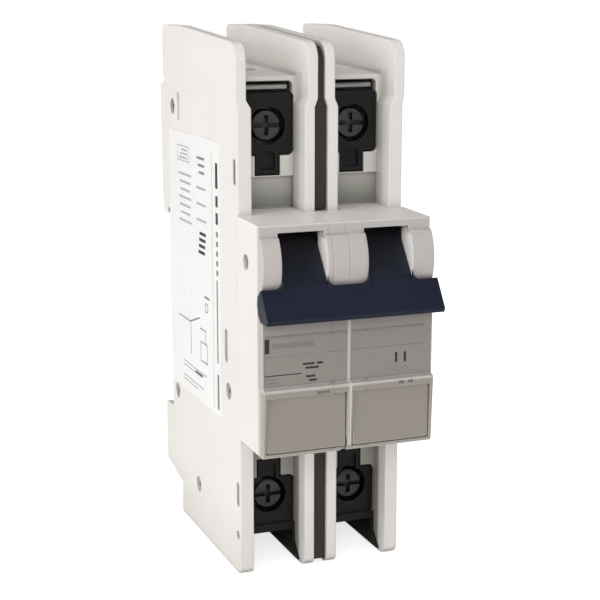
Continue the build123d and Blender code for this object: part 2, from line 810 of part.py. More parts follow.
def terminal_screw(side, zone):
    """Clamp screw: head with a combined slot, and the shank that moves the cage."""
    with BuildPart() as screw:
        with BuildSketch(facing_user(-39.5)):
            with Locations((side * bay_centre, screw_z[zone])):
                Circle(screw_head_radius)
        extrude(amount=2.0)
        chamfer(screw.edges().group_by(Axis.Y)[0], 0.35)
        with BuildSketch(facing_user(-40.4)):
            with Locations((side * bay_centre, screw_z[zone])):
                Rectangle(7.0, 0.9)
                Rectangle(0.9, 4.0)
        extrude(amount=2.0, mode=Mode.SUBTRACT)
        with BuildSketch(facing_user(-32.3)):
            with Locations((side * bay_centre, screw_z[zone])):
                Circle(screw_shank_radius)
        extrude(amount=7.4)
    return screw


def terminal_cage(side, zone):
    """Lifting box clamp around the conductor tongue."""
    with BuildPart() as cage:
        with BuildSketch(Plane.XY.offset(screw_z[zone] - cage_half_height)):
            with Locations((side * bay_centre, (cage_front_y + cage_back_y) / 2)):
                RectangleRounded(2 * cage_half_width, cage_back_y - cage_front_y, 0.8)
                Rectangle(
                    2 * (cage_half_width - cage_wall), cage_back_y - cage_front_y - 2 * cage_wall,
                    mode=Mode.SUBTRACT,
                )
        extrude(amount=2 * cage_half_height)
        with BuildSketch(facing_user(cage_front_y + 3)):
            with Locations((side * bay_centre, screw_z[zone])):
                Circle(screw_shank_radius + running_clearance)
        extrude(amount=5, mode=Mode.SUBTRACT)
    return cage


def rail_clip(side):
    """Sliding clip that hooks behind the rail's lower edge, with a window for its spring."""
    middle = side * pole_pitch / 2
    with BuildPart() as clip:
        with BuildSketch(facing_user(3.9)):
            with Locations((middle, -31.5)):
                Rectangle(7.1, 30.2)
            with Locations((middle, -33.6)):
                Rectangle(3.0, 15.2, mode=Mode.SUBTRACT)
            with Locations((middle, -44.9)):
                SlotOverall(3.4, 1.1, mode=Mode.SUBTRACT)
        extrude(amount=2.65)
        chamfer(clip.edges().filter_by(Axis.X).group_by(Axis.Z)[-1].sort_by(Axis.Y)[-1], 1.6)
        chamfer(clip.edges().filter_by(Axis.X).group_by(Axis.Z)[0].sort_by(Axis.Y)[-1], 1.0)
    return clip


def clip_spring(side):
    """Compression spring between the post in the clip channel and the top of the clip's window."""
    with BuildPart() as spring:
        with BuildLine(Plane(origin=(side * pole_pitch / 2, 2.6, -38.55))) as path:
            Helix(pitch=1.35, height=12.25, radius=0.9)
        with BuildSketch(Plane(origin=path.line @ 0, z_dir=path.line % 0)):
            Circle(0.2)
        sweep(is_frenet=True)
    return spring


def handle_springs():
    """Return springs around the handle pin, one beside each lever."""
    with BuildPart() as springs:
        for side in poles.values():
            start = (side * pole_pitch / 2 - 6.6, pivot[0], pivot[1])
            with BuildLine() as path:
                Helix(pitch=0.9, height=1.35, radius=2.6, center=start, direction=(1, 0, 0))
            with BuildSketch(Plane(origin=path.line @ 0, z_dir=path.line % 0)):
                Circle(0.3)
            sweep(is_frenet=True)
    return springs


def front_label(side):
    """Thin printed plate on the nose."""
    plane, depth = slab(side, 0.35, 17.4)
    with BuildPart() as label:
        with BuildSketch(plane):
            with Locations((front_y + 0.2, -3.6)):
                Rectangle(0.28, 9.5)
        extrude(amount=depth)
    return label


def marker_cover(side):
    """Snap-in cover plate below the lip."""
    with BuildPart() as cover:
        with BuildSketch(facing_user(-62.12)):
            with Locations((side * 8.9, -16.1)):
                RectangleRounded(16.4, 11.0, 0.5)
        extrude(amount=1.15)
        chamfer(cover.faces().sort_by(Axis.Y)[0].edges(), 0.2)
    return cover


def side_label():
    """Rating plate on the left side."""
    with BuildPart() as label:
        with BuildSketch(along_x(-body_half_width - 0.12)):
            with Locations((-18.9, 7.2)):
                RectangleRounded(36.2, 57.6, 1.0)
        extrude(amount=0.12)
    return label


def case_rivets():
    """Tubular rivets through both poles."""
    reach = body_half_width - 0.2
    with BuildPart() as rivets:
        for low, high, radius in (
            (-reach, reach, rivet_radius),
            (-reach, 0.5 - reach, rivet_head_radius),
            (reach - 0.5, reach, rivet_head_radius),
        ):
            with BuildSketch(along_x(low)):
                with Locations(*rivet_places):
                    Circle(radius)
            extrude(amount=high - low)
        with BuildSketch(along_x(-reach)):
            with Locations(*rivet_places):
                Circle(0.5)
        extrude(amount=2 * reach, mode=Mode.SUBTRACT)
    return rivets


for pole, side in poles.items():
    save(case_shell(side), f"case_shell_{pole}")
    save(case_cover(side), f"case_cover_{pole}")
    save(toggle(side), f"toggle_{pole}")
    save(link(side), f"link_{pole}")
    save(carrier(side), f"carrier_{pole}")
    save(moving_contact(side), f"moving_contact_{pole}")
    save(line_bar(side), f"line_bar_{pole}")
    save(fixed_contact(side), f"fixed_contact_{pole}")
    save(coil(side), f"coil_{pole}")
    save(plunger(side), f"plunger_{pole}")
    save(arc_chute(side), f"arc_chute_{pole}")
    save(load_bar(side), f"load_bar_{pole}")
    save(bimetal(side), f"bimetal_{pole}")
    save(trip_lever(side), f"trip_lever_{pole}")
    save(rail_clip(side), f"rail_clip_{pole}")
    save(clip_spring(side), f"clip_spring_{pole}")
    save(front_label(side), f"front_label_{pole}")
    save(marker_cover(side), f"marker_cover_{pole}")
    for zone in screw_z:
        save(terminal_guard(side, zone), f"guard_{zone}_{pole}")
        save(terminal_screw(side, zone), f"screw_{zone}_{pole}")
        save(terminal_cage(side, zone), f"cage_{zone}_{pole}")

save(handle_tie_bar(), "handle_tie_bar")
save(round_pin(tie_pin_place, tie_pin_radius, -17.5, 17.5), "tie_pin")
save(round_pin(pivot, pivot_pin_radius, -16.9, 16.9), "handle_pin")
save(round_pin(trip_axis, trip_shaft_radius, -15.9, 15.9), "trip_shaft")
save(handle_springs(), "handle_springs")
save(coil_bobbins(), "coil_bobbins")
save(coil_yokes(), "coil_yokes")
save(contact_braids(), "contact_braids")
save(phase_barriers(), "phase_barriers")
save(side_label(), "side_label")
save(case_rivets(), "case_rivets")

with BuildPart() as contact_pins:
    for side in poles.values():
        plane, depth = slab(side, cover_wall_inner + 0.1, side_wall_inner - 0.1)
        with BuildSketch(plane):
            with Locations(arm_pivot):
                Circle(arm_pin_radius)
        extrude(amount=depth)
save(contact_pins, "contact_pins")
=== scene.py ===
import bpy
import bmesh
import math
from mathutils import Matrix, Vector

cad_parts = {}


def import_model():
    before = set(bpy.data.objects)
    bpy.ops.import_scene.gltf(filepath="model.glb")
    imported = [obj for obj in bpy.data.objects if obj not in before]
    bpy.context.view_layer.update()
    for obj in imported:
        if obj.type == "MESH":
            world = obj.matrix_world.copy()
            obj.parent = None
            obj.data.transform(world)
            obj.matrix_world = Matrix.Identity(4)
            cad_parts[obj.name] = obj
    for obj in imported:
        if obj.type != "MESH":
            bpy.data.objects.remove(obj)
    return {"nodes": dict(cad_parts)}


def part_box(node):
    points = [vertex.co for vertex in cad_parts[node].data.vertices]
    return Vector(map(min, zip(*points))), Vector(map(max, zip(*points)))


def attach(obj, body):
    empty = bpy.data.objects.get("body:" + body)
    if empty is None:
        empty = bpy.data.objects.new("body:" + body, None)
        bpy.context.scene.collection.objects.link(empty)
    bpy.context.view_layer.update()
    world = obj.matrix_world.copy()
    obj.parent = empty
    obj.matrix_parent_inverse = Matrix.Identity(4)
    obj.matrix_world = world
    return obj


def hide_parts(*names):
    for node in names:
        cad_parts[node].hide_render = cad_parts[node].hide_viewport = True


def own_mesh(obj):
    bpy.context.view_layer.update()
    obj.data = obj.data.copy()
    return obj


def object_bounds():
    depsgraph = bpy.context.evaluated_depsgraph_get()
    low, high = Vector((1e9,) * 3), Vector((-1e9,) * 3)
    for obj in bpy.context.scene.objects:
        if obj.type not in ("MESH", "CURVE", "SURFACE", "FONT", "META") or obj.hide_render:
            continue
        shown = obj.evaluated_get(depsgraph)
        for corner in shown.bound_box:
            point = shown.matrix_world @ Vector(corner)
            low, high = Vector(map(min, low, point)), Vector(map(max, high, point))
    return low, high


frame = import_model()
cad_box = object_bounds()
NODES = frame["nodes"]
MM = 0.001


# ---------------------------------------------------------------- colour helpers
def rgba(colour):
    """A colour written as three sRGB numbers 0-255 becomes linear RGBA; sockets pass through."""
    if hasattr(colour, "is_output"):
        return colour
    linear = [
        c / 255 / 12.92 if c / 255 <= 0.04045 else ((c / 255 + 0.055) / 1.055) ** 2.4
        for c in colour
    ]
    return (*linear, 1.0)


def scaled(colour, factor):
    return [min(255, c * factor) for c in colour]


# ---------------------------------------------------------------- material helper
class Graph:
    """A node material while it is built. Lengths are in mm, noise scales in grains per metre."""

    BEVEL_SAMPLES = 4
    OCCLUSION_SAMPLES = 6
    EDGE_BEGINS, EDGE_FULL = 0.995, 0.90      # cosines of how far the rounded normal turns
    CORNER_FULL, CORNER_ENDS = 0.25, 0.85     # shares of the view that are open

    def __init__(self, name):
        self.material = bpy.data.materials.new(name)
        self.material.use_nodes = True
        self.tree = self.material.node_tree
        self.tree.nodes.clear()
        self.output = self.tree.nodes.new("ShaderNodeOutputMaterial")
        self.position = self.add("ShaderNodeTexCoord").outputs["Object"]

    def add(self, kind, **settings):
        node = self.tree.nodes.new(kind)
        for key, value in settings.items():
            setattr(node, key, value)
        return node

    def link(self, source, target):
        """Joins a socket to an input, or writes a plain value into it."""
        if hasattr(source, "is_output"):
            self.tree.links.new(source, target)
        else:
            target.default_value = source

    def math(self, operation, a, b=0.0):
        node = self.add("ShaderNodeMath", operation=operation)
        self.link(a, node.inputs[0])
        self.link(b, node.inputs[1])
        return node.outputs[0]

    def noise(self, scale, detail=3.0, rough=0.55, stretch=(1, 1, 1)):
        mapping = self.add("ShaderNodeMapping")
        mapping.inputs["Scale"].default_value = stretch
        self.link(self.position, mapping.inputs["Vector"])
        node = self.add("ShaderNodeTexNoise")
        node.inputs["Scale"].default_value = scale
        node.inputs["Detail"].default_value = detail
        node.inputs["Roughness"].default_value = rough
        self.link(mapping.outputs[0], node.inputs["Vector"])
        return node.outputs["Fac"]

    def ramp(self, value, low, high, to_low=0.0, to_high=1.0, smooth=True):
        node = self.add("ShaderNodeMapRange", interpolation_type="SMOOTHSTEP" if smooth else "LINEAR")
        self.link(value, node.inputs["Value"])
        ends = {"From Min": low, "From Max": high, "To Min": to_low, "To Max": to_high}
        for key, number in ends.items():
            node.inputs[key].default_value = number
        return node.outputs["Result"]

    def ramp_mm(self, place, low, high, to_low=0.0, to_high=1.0):
        """A ramp along a length whose two ends are in mm."""
        return self.ramp(place, low * MM, high * MM, to_low, to_high)

    def drift(self, scale):
        """Slow clouds of tone from 0 to 1."""
        return self.ramp(self.noise(scale, 4, 0.6), 0.3, 0.75)

    def specks(self, scale, threshold):
        """1 on the sparse grains of a fine noise that rise above a threshold."""
        return self.ramp(self.noise(scale, 2, 0.5), threshold, threshold + 0.16)

    def uneven(self, scale, low, high, detail=4):
        """A roughness that wanders between two values."""
        return self.ramp(self.noise(scale, detail, 0.6), 0.25, 0.8, low, high)

    def component(self, vector, name):
        node = self.add("ShaderNodeSeparateXYZ")
        self.link(vector, node.inputs[0])
        return node.outputs[name]

    def axis(self, name):
        return self.component(self.position, name)

    def surface_normal(self):
        return self.add("ShaderNodeNewGeometry").outputs["Normal"]

    def band(self, axis, low, high, soft):
        """1 between two places in mm along an axis, fading over soft mm on either side of each."""
        place = self.axis(axis)
        rise = self.ramp_mm(place, low - soft, low + soft)
        fall = self.ramp_mm(place, high - soft, high + soft, 1.0, 0.0)
        return self.math("MULTIPLY", rise, fall)

    def block(self, soft, **ranges):
        """1 inside a box given as axis=(low, high) in mm."""
        mask = None
        for axis, (low, high) in ranges.items():
            strip = self.band(axis, low, high, soft)
            mask = strip if mask is None else self.math("MULTIPLY", mask, strip)
        return mask

    def mix(self, factor, a, b):
        node = self.add("ShaderNodeMix", data_type="RGBA")
        self.link(factor, node.inputs["Factor"])
        self.link(rgba(a), node.inputs[6])
        self.link(rgba(b), node.inputs[7])
        return node.outputs[2]

    def paint(self, tone, mask, amount, colour):
        """Lays a colour over a tone where the mask is 1, at the given strength."""
        return self.mix(self.math("MULTIPLY", mask, amount), tone, colour)

    def rounded(self, radius):
        """The normal as if edges were rounded to a radius in mm."""
        node = self.add("ShaderNodeBevel", samples=self.BEVEL_SAMPLES)
        node.inputs["Radius"].default_value = radius * MM
        return node.outputs[0]

    def edge_mask(self, radius):
        """1 on edges, from how far the rounded normal turns from the true one."""
        dot = self.add("ShaderNodeVectorMath", operation="DOT_PRODUCT")
        self.link(self.rounded(radius), dot.inputs[0])
        self.link(self.surface_normal(), dot.inputs[1])
        return self.ramp(dot.outputs["Value"], self.EDGE_BEGINS, self.EDGE_FULL)

    def crevice(self, reach):
        """1 in corners, where walls within reach mm close the view."""
        node = self.add("ShaderNodeAmbientOcclusion", samples=self.OCCLUSION_SAMPLES)
        node.inputs["Distance"].default_value = reach * MM
        return self.ramp(node.outputs["AO"], self.CORNER_FULL, self.CORNER_ENDS, 1.0, 0.0)

    def bumps(self, layers, base=None):
        """Stacks bump layers, each (height, strength, distance in mm), over a base normal."""
        normal = base
        for height, strength, distance in layers:
            node = self.add("ShaderNodeBump")
            node.inputs["Strength"].default_value = strength
            node.inputs["Distance"].default_value = distance * MM
            self.link(height, node.inputs["Height"])
            if normal is not None:
                self.link(normal, node.inputs["Normal"])
            normal = node.outputs[0]
        return normal

    def finish(self, colour, rough, normal, metal=0.0, spec=0.5, depth=0.0):
        """Closes the material; depth is how much light passes just under the surface."""
        shader = self.add("ShaderNodeBsdfPrincipled")
        self.link(rgba(colour), shader.inputs["Base Color"])
        self.link(rough, shader.inputs["Roughness"])
        self.link(normal, shader.inputs["Normal"])
        shader.inputs["Metallic"].default_value = metal
        shader.inputs["Specular IOR Level"].default_value = spec
        if depth:
            shader.inputs["Subsurface Weight"].default_value = depth
            shader.inputs["Subsurface Radius"].default_value = (0.001, 0.0008, 0.0006)
            shader.inputs["Subsurface Scale"].default_value = 0.6
        self.tree.links.new(shader.outputs[0], self.output.inputs["Surface"])
        return self.material


# ---------------------------------------------------------------- case plastic
# Box zones in mm, where -Y is towards the front. Each one crosses both poles.
MARKER_FRAME = {"X": (-17.8, 17.8), "Y": (-64.6, -61.7), "Z": (-22.3, -9.35)}
HANDLE_SLOTS = {"X": (-15, 15), "Y": (-64.6, -57), "Z": (7.4, 19.6)}
SET_BACK_SHOULDER = {"X": (-15.9, 15.9), "Y": (-41.9, -40.4), "Z": (22.7, 34)}

# Tones laid over the case in turn, most of them painted shade or painted highlight: soft edge in mm,
# strength, colour, zone.
CASE_ZONES = (
    # painted shade on the nose
    (0.40, 0.85, (192, 186, 182), {"Y": (-70, -60.3), "Z": (-22.6, 22.3)}),
    # painted shade on the brow over the handle slots
    (0.25, 0.80, (194, 190, 187), {"Y": (-64, -60.5), "Z": (19.3, 22.2)}),
    # recess and field of the nose plates
    (0.15, 1.00, (160, 153, 148), {"X": (-17.72, 17.72), "Y": (-64, -60), "Z": (-8.7, 6.1)}),
    # frame round the marker covers, then a painted highlight on its lower edge
    (0.12, 0.95, (158, 151, 141), MARKER_FRAME),
    (0.10, 0.80, (206, 201, 193), {"Y": (-64.6, -62), "Z": (-22.9, -22.2)}),
    # painted highlight on the line between the two poles
    (0.10, 0.90, (226, 220, 214), {"X": (-0.3, 0.3), "Y": (-64.6, -62), "Z": (-21.5, 6.0)}),
    # painted shade in the lower terminal bays, then less of it in the upper ones
    (0.40, 0.90, (152, 147, 142), {"X": (-16.6, 16.6), "Y": (-44.9, -5), "Z": (-52, -22.8)}),
    (0.40, 0.35, (188, 188, 183), {"X": (-16.6, 16.6), "Y": (-44.9, -28), "Z": (22.9, 50)}),
)

# Three sight slots and a round dimple in the sides: how strong the painted shade on the floor is, and its
# zone in mm.
SIGHT_SLOTS = (
    (0.85, {"Y": (-47.4, -44.8), "Z": (27.6, 34.4)}),
    (0.45, {"Y": (-41.2, -38.4), "Z": (-9.4, -1.2)}),
    (0.55, {"Y": (-48.0, -45.4), "Z": (-38.4, -31.8)}),
    (0.50, {"Y": (-47.6, -45.2), "Z": (-45.0, -42.6)}),
)
SLOT_FLOOR_SHADE = (52, 46, 43)


def case_material():
    """The light case plastic, with painted shade on the nose, in the terminal bays and in the corners, and
    painted highlights on edges.
    """
    g = Graph("case_plastic")
    across = g.math("ABSOLUTE", g.axis("X"))
    height = g.axis("Z")
    tone = g.paint((238, 235, 231), g.drift(30), 0.4, (227, 223, 217))
    for soft, amount, colour, zone in CASE_ZONES:
        tone = g.paint(tone, g.block(soft, **zone), amount, colour)

    # painted shade on the shoulder set back below the upper terminals, darker towards its foot
    downward = g.ramp_mm(height, 31, 22.8, 0.35, 1.0)
    shoulder = g.math("MULTIPLY", g.block(0.2, **SET_BACK_SHOULDER), downward)
    tone = g.paint(tone, shoulder, 0.85, (116, 119, 110))

    # painted highlight on the left-facing walls of the handle slots, which face the key light
    slots = g.block(0.3, **HANDLE_SLOTS)
    left_facing = g.ramp(g.component(g.surface_normal(), "X"), -0.3, -0.75)
    tone = g.paint(tone, g.math("MULTIPLY", slots, left_facing), 0.9, (248, 247, 246))

    # painted shade on the outer sides, darker towards their lower edge
    outer_face = g.ramp_mm(across, 17.15, 17.25)
    low_side = g.math("MULTIPLY", outer_face, g.ramp_mm(height, -36, -52))
    tone = g.paint(tone, low_side, 0.5, (206, 201, 196))

    # painted shade on the floors of the sight slots, set in from the outer sides
    inside = g.ramp_mm(across, 17.15, 17.05)
    not_deep = g.ramp_mm(across, 16.4, 16.8)
    for amount, zone in SIGHT_SLOTS:
        floor_area = g.math("MULTIPLY", g.block(0.05, **zone), inside)
        tone = g.paint(tone, g.math("MULTIPLY", floor_area, not_deep), amount, SLOT_FLOOR_SHADE)

    tone = g.paint(tone, g.specks(2300, 0.64), 0.10, (190, 184, 176))

    # painted shade in the corners, little of it in the handle slots and round the marker covers
    marker_frame = g.block(0.12, **MARKER_FRAME)
    less_shaded = g.math("MAXIMUM", slots, marker_frame)
    shade_in_corners = g.ramp(g.math("SUBTRACT", 1.0, less_shaded), 0.0, 1.0, 0.12, 0.55, smooth=False)
    tone = g.paint(tone, g.math("MULTIPLY", g.crevice(2.6), shade_in_corners), 1.0, (128, 122, 114))

    # lighter edges, partly wear and partly painted highlight, except along the joint between shell and cover,
    # 3.5 mm from the middle
    joint = g.math("MULTIPLY", g.ramp_mm(across, 2.9, 3.2), g.ramp_mm(across, 4.1, 3.8))
    worn_and_lit_edges = g.math("MULTIPLY", g.edge_mask(0.3), g.math("SUBTRACT", 1.0, joint))
    tone = g.paint(tone, worn_and_lit_edges, 0.5, (248, 246, 243))

    grain = (g.noise(5200, 2, 0.5), 0.10, 0.03)
    flow_lines = (g.noise(90, 3, 0.5, (1, 1, 0.25)), 0.10, 0.25)
    normal = g.bumps([grain, flow_lines], g.rounded(0.3))
    return g.finish(tone, g.uneven(140, 0.36, 0.52), normal, depth=0.06)


# ---------------------------------------------------------------- other materials
def handle_material():
    """Navy handle plastic, with painted shade on the necks and in the corners, and rubbed lighter on the
    edges.
    """
    g = Graph("handle_plastic")
    tone = g.mix(g.drift(60), (22, 28, 47), (28, 34, 53))
    # painted shade on the necks, darker towards the top where they sit deep in the slots
    neck_shade = g.ramp_mm(g.axis("Z"), 8, 19)
    tone = g.paint(tone, neck_shade, 0.85, (13, 13, 16))
    # painted shade in the corners
    tone = g.paint(tone, g.crevice(1.5), 0.6, (14, 14, 18))
    patches = g.ramp(g.noise(420, 4, 0.65), 0.35, 0.7)
    tone = g.paint(tone, g.math("MULTIPLY", g.edge_mask(0.35), patches), 0.4, (70, 78, 106))
    grain = (g.noise(4800, 2, 0.5), 0.10, 0.03)
    scratches = (g.noise(900, 3, 0.6, (0.15, 1, 1)), 0.06, 0.05)
    normal = g.bumps([grain, scratches], g.rounded(0.35))
    return g.finish(tone, g.uneven(150, 0.30, 0.48, detail=5), normal, spec=0.3)


def moulded(name, colour, shade, rough, edge=None, grain=0.05, corner_shade=0.5, radius=0.25, spec=0.5, edge_wear_and_highlight=0.45):
    """Moulded thermoplastic: spark-eroded grain, slow tone drift, painted shade in the corners, and lighter
    edges that are wear and painted highlight.
    """
    g = Graph(name)
    tone = g.paint(colour, g.drift(38), 0.35, shade)
    tone = g.paint(tone, g.specks(2600, 0.62), 0.10, shade)
    # painted shade in the corners
    tone = g.paint(tone, g.crevice(2.2), corner_shade, scaled(shade, 0.55))
    if edge:
        # lighter edges: wear, and on the marker covers a painted highlight
        tone = g.paint(tone, g.edge_mask(radius), edge_wear_and_highlight, edge)
    fine = (g.noise(5200, 2, 0.5), 2 * grain, 0.03)
    broad = (g.noise(260, 3, 0.5), grain, 0.12)
    normal = g.bumps([fine, broad], g.rounded(radius))
    return g.finish(tone, g.uneven(120, rough - 0.07, rough + 0.10), normal, spec=spec)


def metal(name, colour, shade, rough, stretch=(1, 1, 1), tarnish=0.35):
    """Worked metal: brushing along the stretched axis, tarnish clouds, painted shade in the hollows and
    brighter rubbed edges.
    """
    edge_radius = 0.12
    g = Graph(name)
    clouds = g.ramp(g.noise(220, 5, 0.62), 0.35, 0.75)
    tone = g.paint(colour, clouds, tarnish, shade)
    # painted shade in the hollows
    tone = g.paint(tone, g.crevice(1.2), 0.7, scaled(shade, 0.3))
    tone = g.paint(tone, g.edge_mask(edge_radius), 0.6, scaled(colour, 1.25))
    brushing = (g.noise(1500, 4, 0.6, stretch), 0.18, 0.03)
    dents = (g.noise(300, 3, 0.5), 0.08, 0.08)
    normal = g.bumps([brushing, dents], g.rounded(edge_radius))
    return g.finish(tone, g.uneven(500, rough - 0.08, rough + 0.14), normal, metal=1.0)


def film(name, colour, shade, rough=0.45):
    """Printed film or ink: an even surface with a faint orange peel and painted shade in its corners."""
    g = Graph(name)
    tone = g.paint(colour, g.drift(55), 0.5, shade)
    # painted shade in the corners
    tone = g.paint(tone, g.crevice(0.8), 0.4, scaled(shade, 0.7))
    normal = g.bumps([(g.noise(1400, 2, 0.5), 0.06, 0.03)])
    return g.finish(tone, g.uneven(200, rough - 0.05, rough + 0.1, detail=3), normal)


MATERIALS = {
    "case": case_material(),
    "handle": handle_material(),
    "guard": moulded(
        "guard_plastic", (14, 14, 17), (10, 10, 12), 0.42, edge=(52, 53, 57), corner_shade=0.12, spec=0.3
    ),
    "barrier": moulded("barrier_fibre", (52, 47, 41), (43, 38, 33), 0.62, grain=0.14, radius=0.1),
    "plate": film("nose_film", (153, 147, 142), (144, 138, 132), 0.38),
    "rating": film("rating_film", (247, 247, 247), (238, 238, 238), 0.32),
    # the marker covers' light edge colour is a painted highlight on their chamfers
    "marker": moulded(
        "marker_plastic", (157, 150, 141), (150, 143, 133), 0.34, edge=(232, 227, 219), corner_shade=0.05, edge_wear_and_highlight=0.85
    ),
    "clip": moulded("clip_plastic", (40, 40, 42), (30, 30, 32), 0.45, edge=(80, 80, 82)),
    "mechanism": moulded("mechanism_plastic", (58, 56, 54), (46, 45, 43), 0.5),
    "bobbin": moulded("bobbin_plastic", (214, 204, 176), (196, 184, 152), 0.5),
    "copper": metal("copper", (222, 150, 112), (150, 92, 66), 0.32),
    "tinned": metal("tinned_copper", (166, 172, 168), (118, 126, 122), 0.38, (1, 1, 0.2)),
    "plated": metal("plated_steel", (176, 178, 176), (120, 122, 118), 0.34, (0.2, 1, 1)),
    "bimetal": metal("bimetal_strip", (184, 172, 158), (128, 116, 104), 0.36, (1, 1, 0.1)),
    "rivet": metal("rivet_metal", (206, 203, 198), (150, 146, 140), 0.52, tarnish=0.25),
    "screw": metal("blackened_steel", (82, 82, 84), (48, 48, 50), 0.44, (0.2, 1, 1), tarnish=0.5),
    "steel": metal("ground_steel", (196, 196, 200), (140, 140, 144), 0.26, (0.1, 1, 1)),
    "ink": film("print_ink", (38, 36, 38), (52, 50, 52)),
    "grey_ink": film("grey_ink", (128, 124, 122), (146, 142, 140)),
    "pale_ink": film("pale_ink", (176, 174, 172), (190, 188, 186)),
}

# Which nodes have which material, by how their names start; all others are steel.
FINISHES = {
    "case": ("case_shell", "case_cover"),
    "handle": ("toggle", "handle_tie_bar"),
    "guard": ("guard",),
    "barrier": ("phase",),
    "plate": ("front_label",),
    "rating": ("side_label",),
    "marker": ("marker",),
    "clip": ("rail_clip",),
    "mechanism": ("carrier", "trip_lever", "trip_shaft"),
    "bobbin": ("coil_bobbins",),
    "copper": ("moving_contact", "fixed_contact", "coil_left", "coil_right", "contact_braids"),
    "tinned": ("line_bar", "load_bar"),
    "plated": ("coil_yokes", "plunger", "arc_chute", "cage"),
    "screw": ("screw",),
    "bimetal": ("bimetal",),
    "rivet": ("case_rivets",),
}


def finish_of(name):
    for finish, beginnings in FINISHES.items():
        if name.startswith(beginnings):
            return finish
    return "steel"


for node_name, node_object in NODES.items():
    node_object.data.materials.clear()
    node_object.data.materials.append(MATERIALS[finish_of(node_name)])


# ---------------------------------------------------------------- new pieces
def mesh_object(name, mesh):
    """Turns a bmesh into an object in the scene."""
    data = bpy.data.meshes.new(name)
    mesh.to_mesh(data)
    mesh.free()
    made = bpy.data.objects.new(name, data)
    bpy.context.scene.collection.objects.link(made)
    return made


def case_piece(name, mesh, finish):
    """A new visible piece fixed to the case."""
    piece = mesh_object(name, mesh)
    piece.data.materials.append(MATERIALS[finish])
    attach(piece, "case")
    return piece


# ---------------------------------------------------------------- print on the nose and the rating plate
INK_THICKNESS = 0.012    # mm
CASE_FACE_Y = -63.0      # mm
NOSE_PRINT_LEFT = -17.3  # mm, where the print on the nose begins
NOSE_PLATE_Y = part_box("front_label_left")[0].y    # metres
RATING_PLATE_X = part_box("side_label")[0].x        # metres


def on_nose(u, v, rise):
    """On the nose plates: u and v are X and Z in mm, rise is out of the face."""
    return Vector((u * MM, NOSE_PLATE_Y - rise * MM, v * MM))


def on_case(u, v, rise):
    """On the face of the case just above the plates, with u, v and rise as on the nose plates."""
    return Vector((u * MM, (CASE_FACE_Y - rise) * MM, v * MM))


def on_side(u, v, rise):
    """On the rating plate: u and v are Y and Z in mm, rise is out of the left side."""
    return Vector((RATING_PLATE_X - rise * MM, u * MM, v * MM))


def printed(name, outlines, place, finish):
    """Ink marks as one thin raised mesh; place puts an outline's points on a face."""
    mesh = bmesh.new()
    for outline in outlines:
        lower = [mesh.verts.new(place(u, v, 0.0)) for u, v in outline]
        upper = [mesh.verts.new(place(u, v, INK_THICKNESS)) for u, v in outline]
        mesh.faces.new(upper)
        mesh.faces.new(lower[::-1])
        for i in range(len(outline)):
            j = (i + 1) % len(outline)
            mesh.faces.new((lower[i], lower[j], upper[j], upper[i]))
    bmesh.ops.recalc_face_normals(mesh, faces=mesh.faces)
    return case_piece(name, mesh, finish)


def bar(u, v, width, height):
    return [(u, v), (u + width, v), (u + width, v + height), (u, v + height)]


def rule(low, high, v, line):
    """A level line from low to high."""
    return bar(low, v, high - low, line)


def box_outline(u, v, width, height, line):
    return [
        bar(u, v, width, line),
        bar(u, v + height - line, width, line),
        bar(u, v + line, line, height - 2 * line),
        bar(u + width - line, v + line, line, height - 2 * line),
    ]


def ring(u, v, radius, line):
    count = 24
    quads = []
    for i in range(count):
        start, end = 2 * math.pi * i / count, 2 * math.pi * (i + 1) / count
        corners = ((radius - line, start), (radius, start), (radius, end), (radius - line, end))
        quads.append([(u + r * math.cos(t), v + r * math.sin(t)) for r, t in corners])
    return quads


def front_print():
    """Ruled lines and plain blocks on the nose plates; nothing on them is lettering."""
    left = NOSE_PRINT_LEFT
    line_gap = 0.45
    # rules across the plates
    grey = [rule(-5.6, -line_gap, -2.42, 0.2), rule(line_gap, 15.7, -2.42, 0.2)]
    dark = [bar(left, -1.7, 0.9, 2.8), bar(left, -6.2, 7.4, 0.2)]
    grey += [bar(-15.8, -0.9, 8.6, 1.0), bar(left, -2.5, 9.8, 0.14)]
    # short rows low on the left plate
    grey += [bar(left, -7.0, 2.6, 0.36), bar(left, -7.75, 2.9, 0.36)]
    for u, v, width in (
        (-9.6, -4.5, 2.4), (-6.7, -4.5, 1.3), (-9.0, -5.3, 2.7), (-8.9, -7.0, 1.9), (-8.3, -7.8, 1.6),
    ):
        dark.append(bar(u, v, width, 0.42))
    # two strokes over two rings on the right plate
    for u in (9.8, 11.7):
        dark.append(bar(u, -5.7, 0.5, 2.0))
        grey += ring(u + 0.25, -7.0, 0.55, 0.16)
    return dark, grey


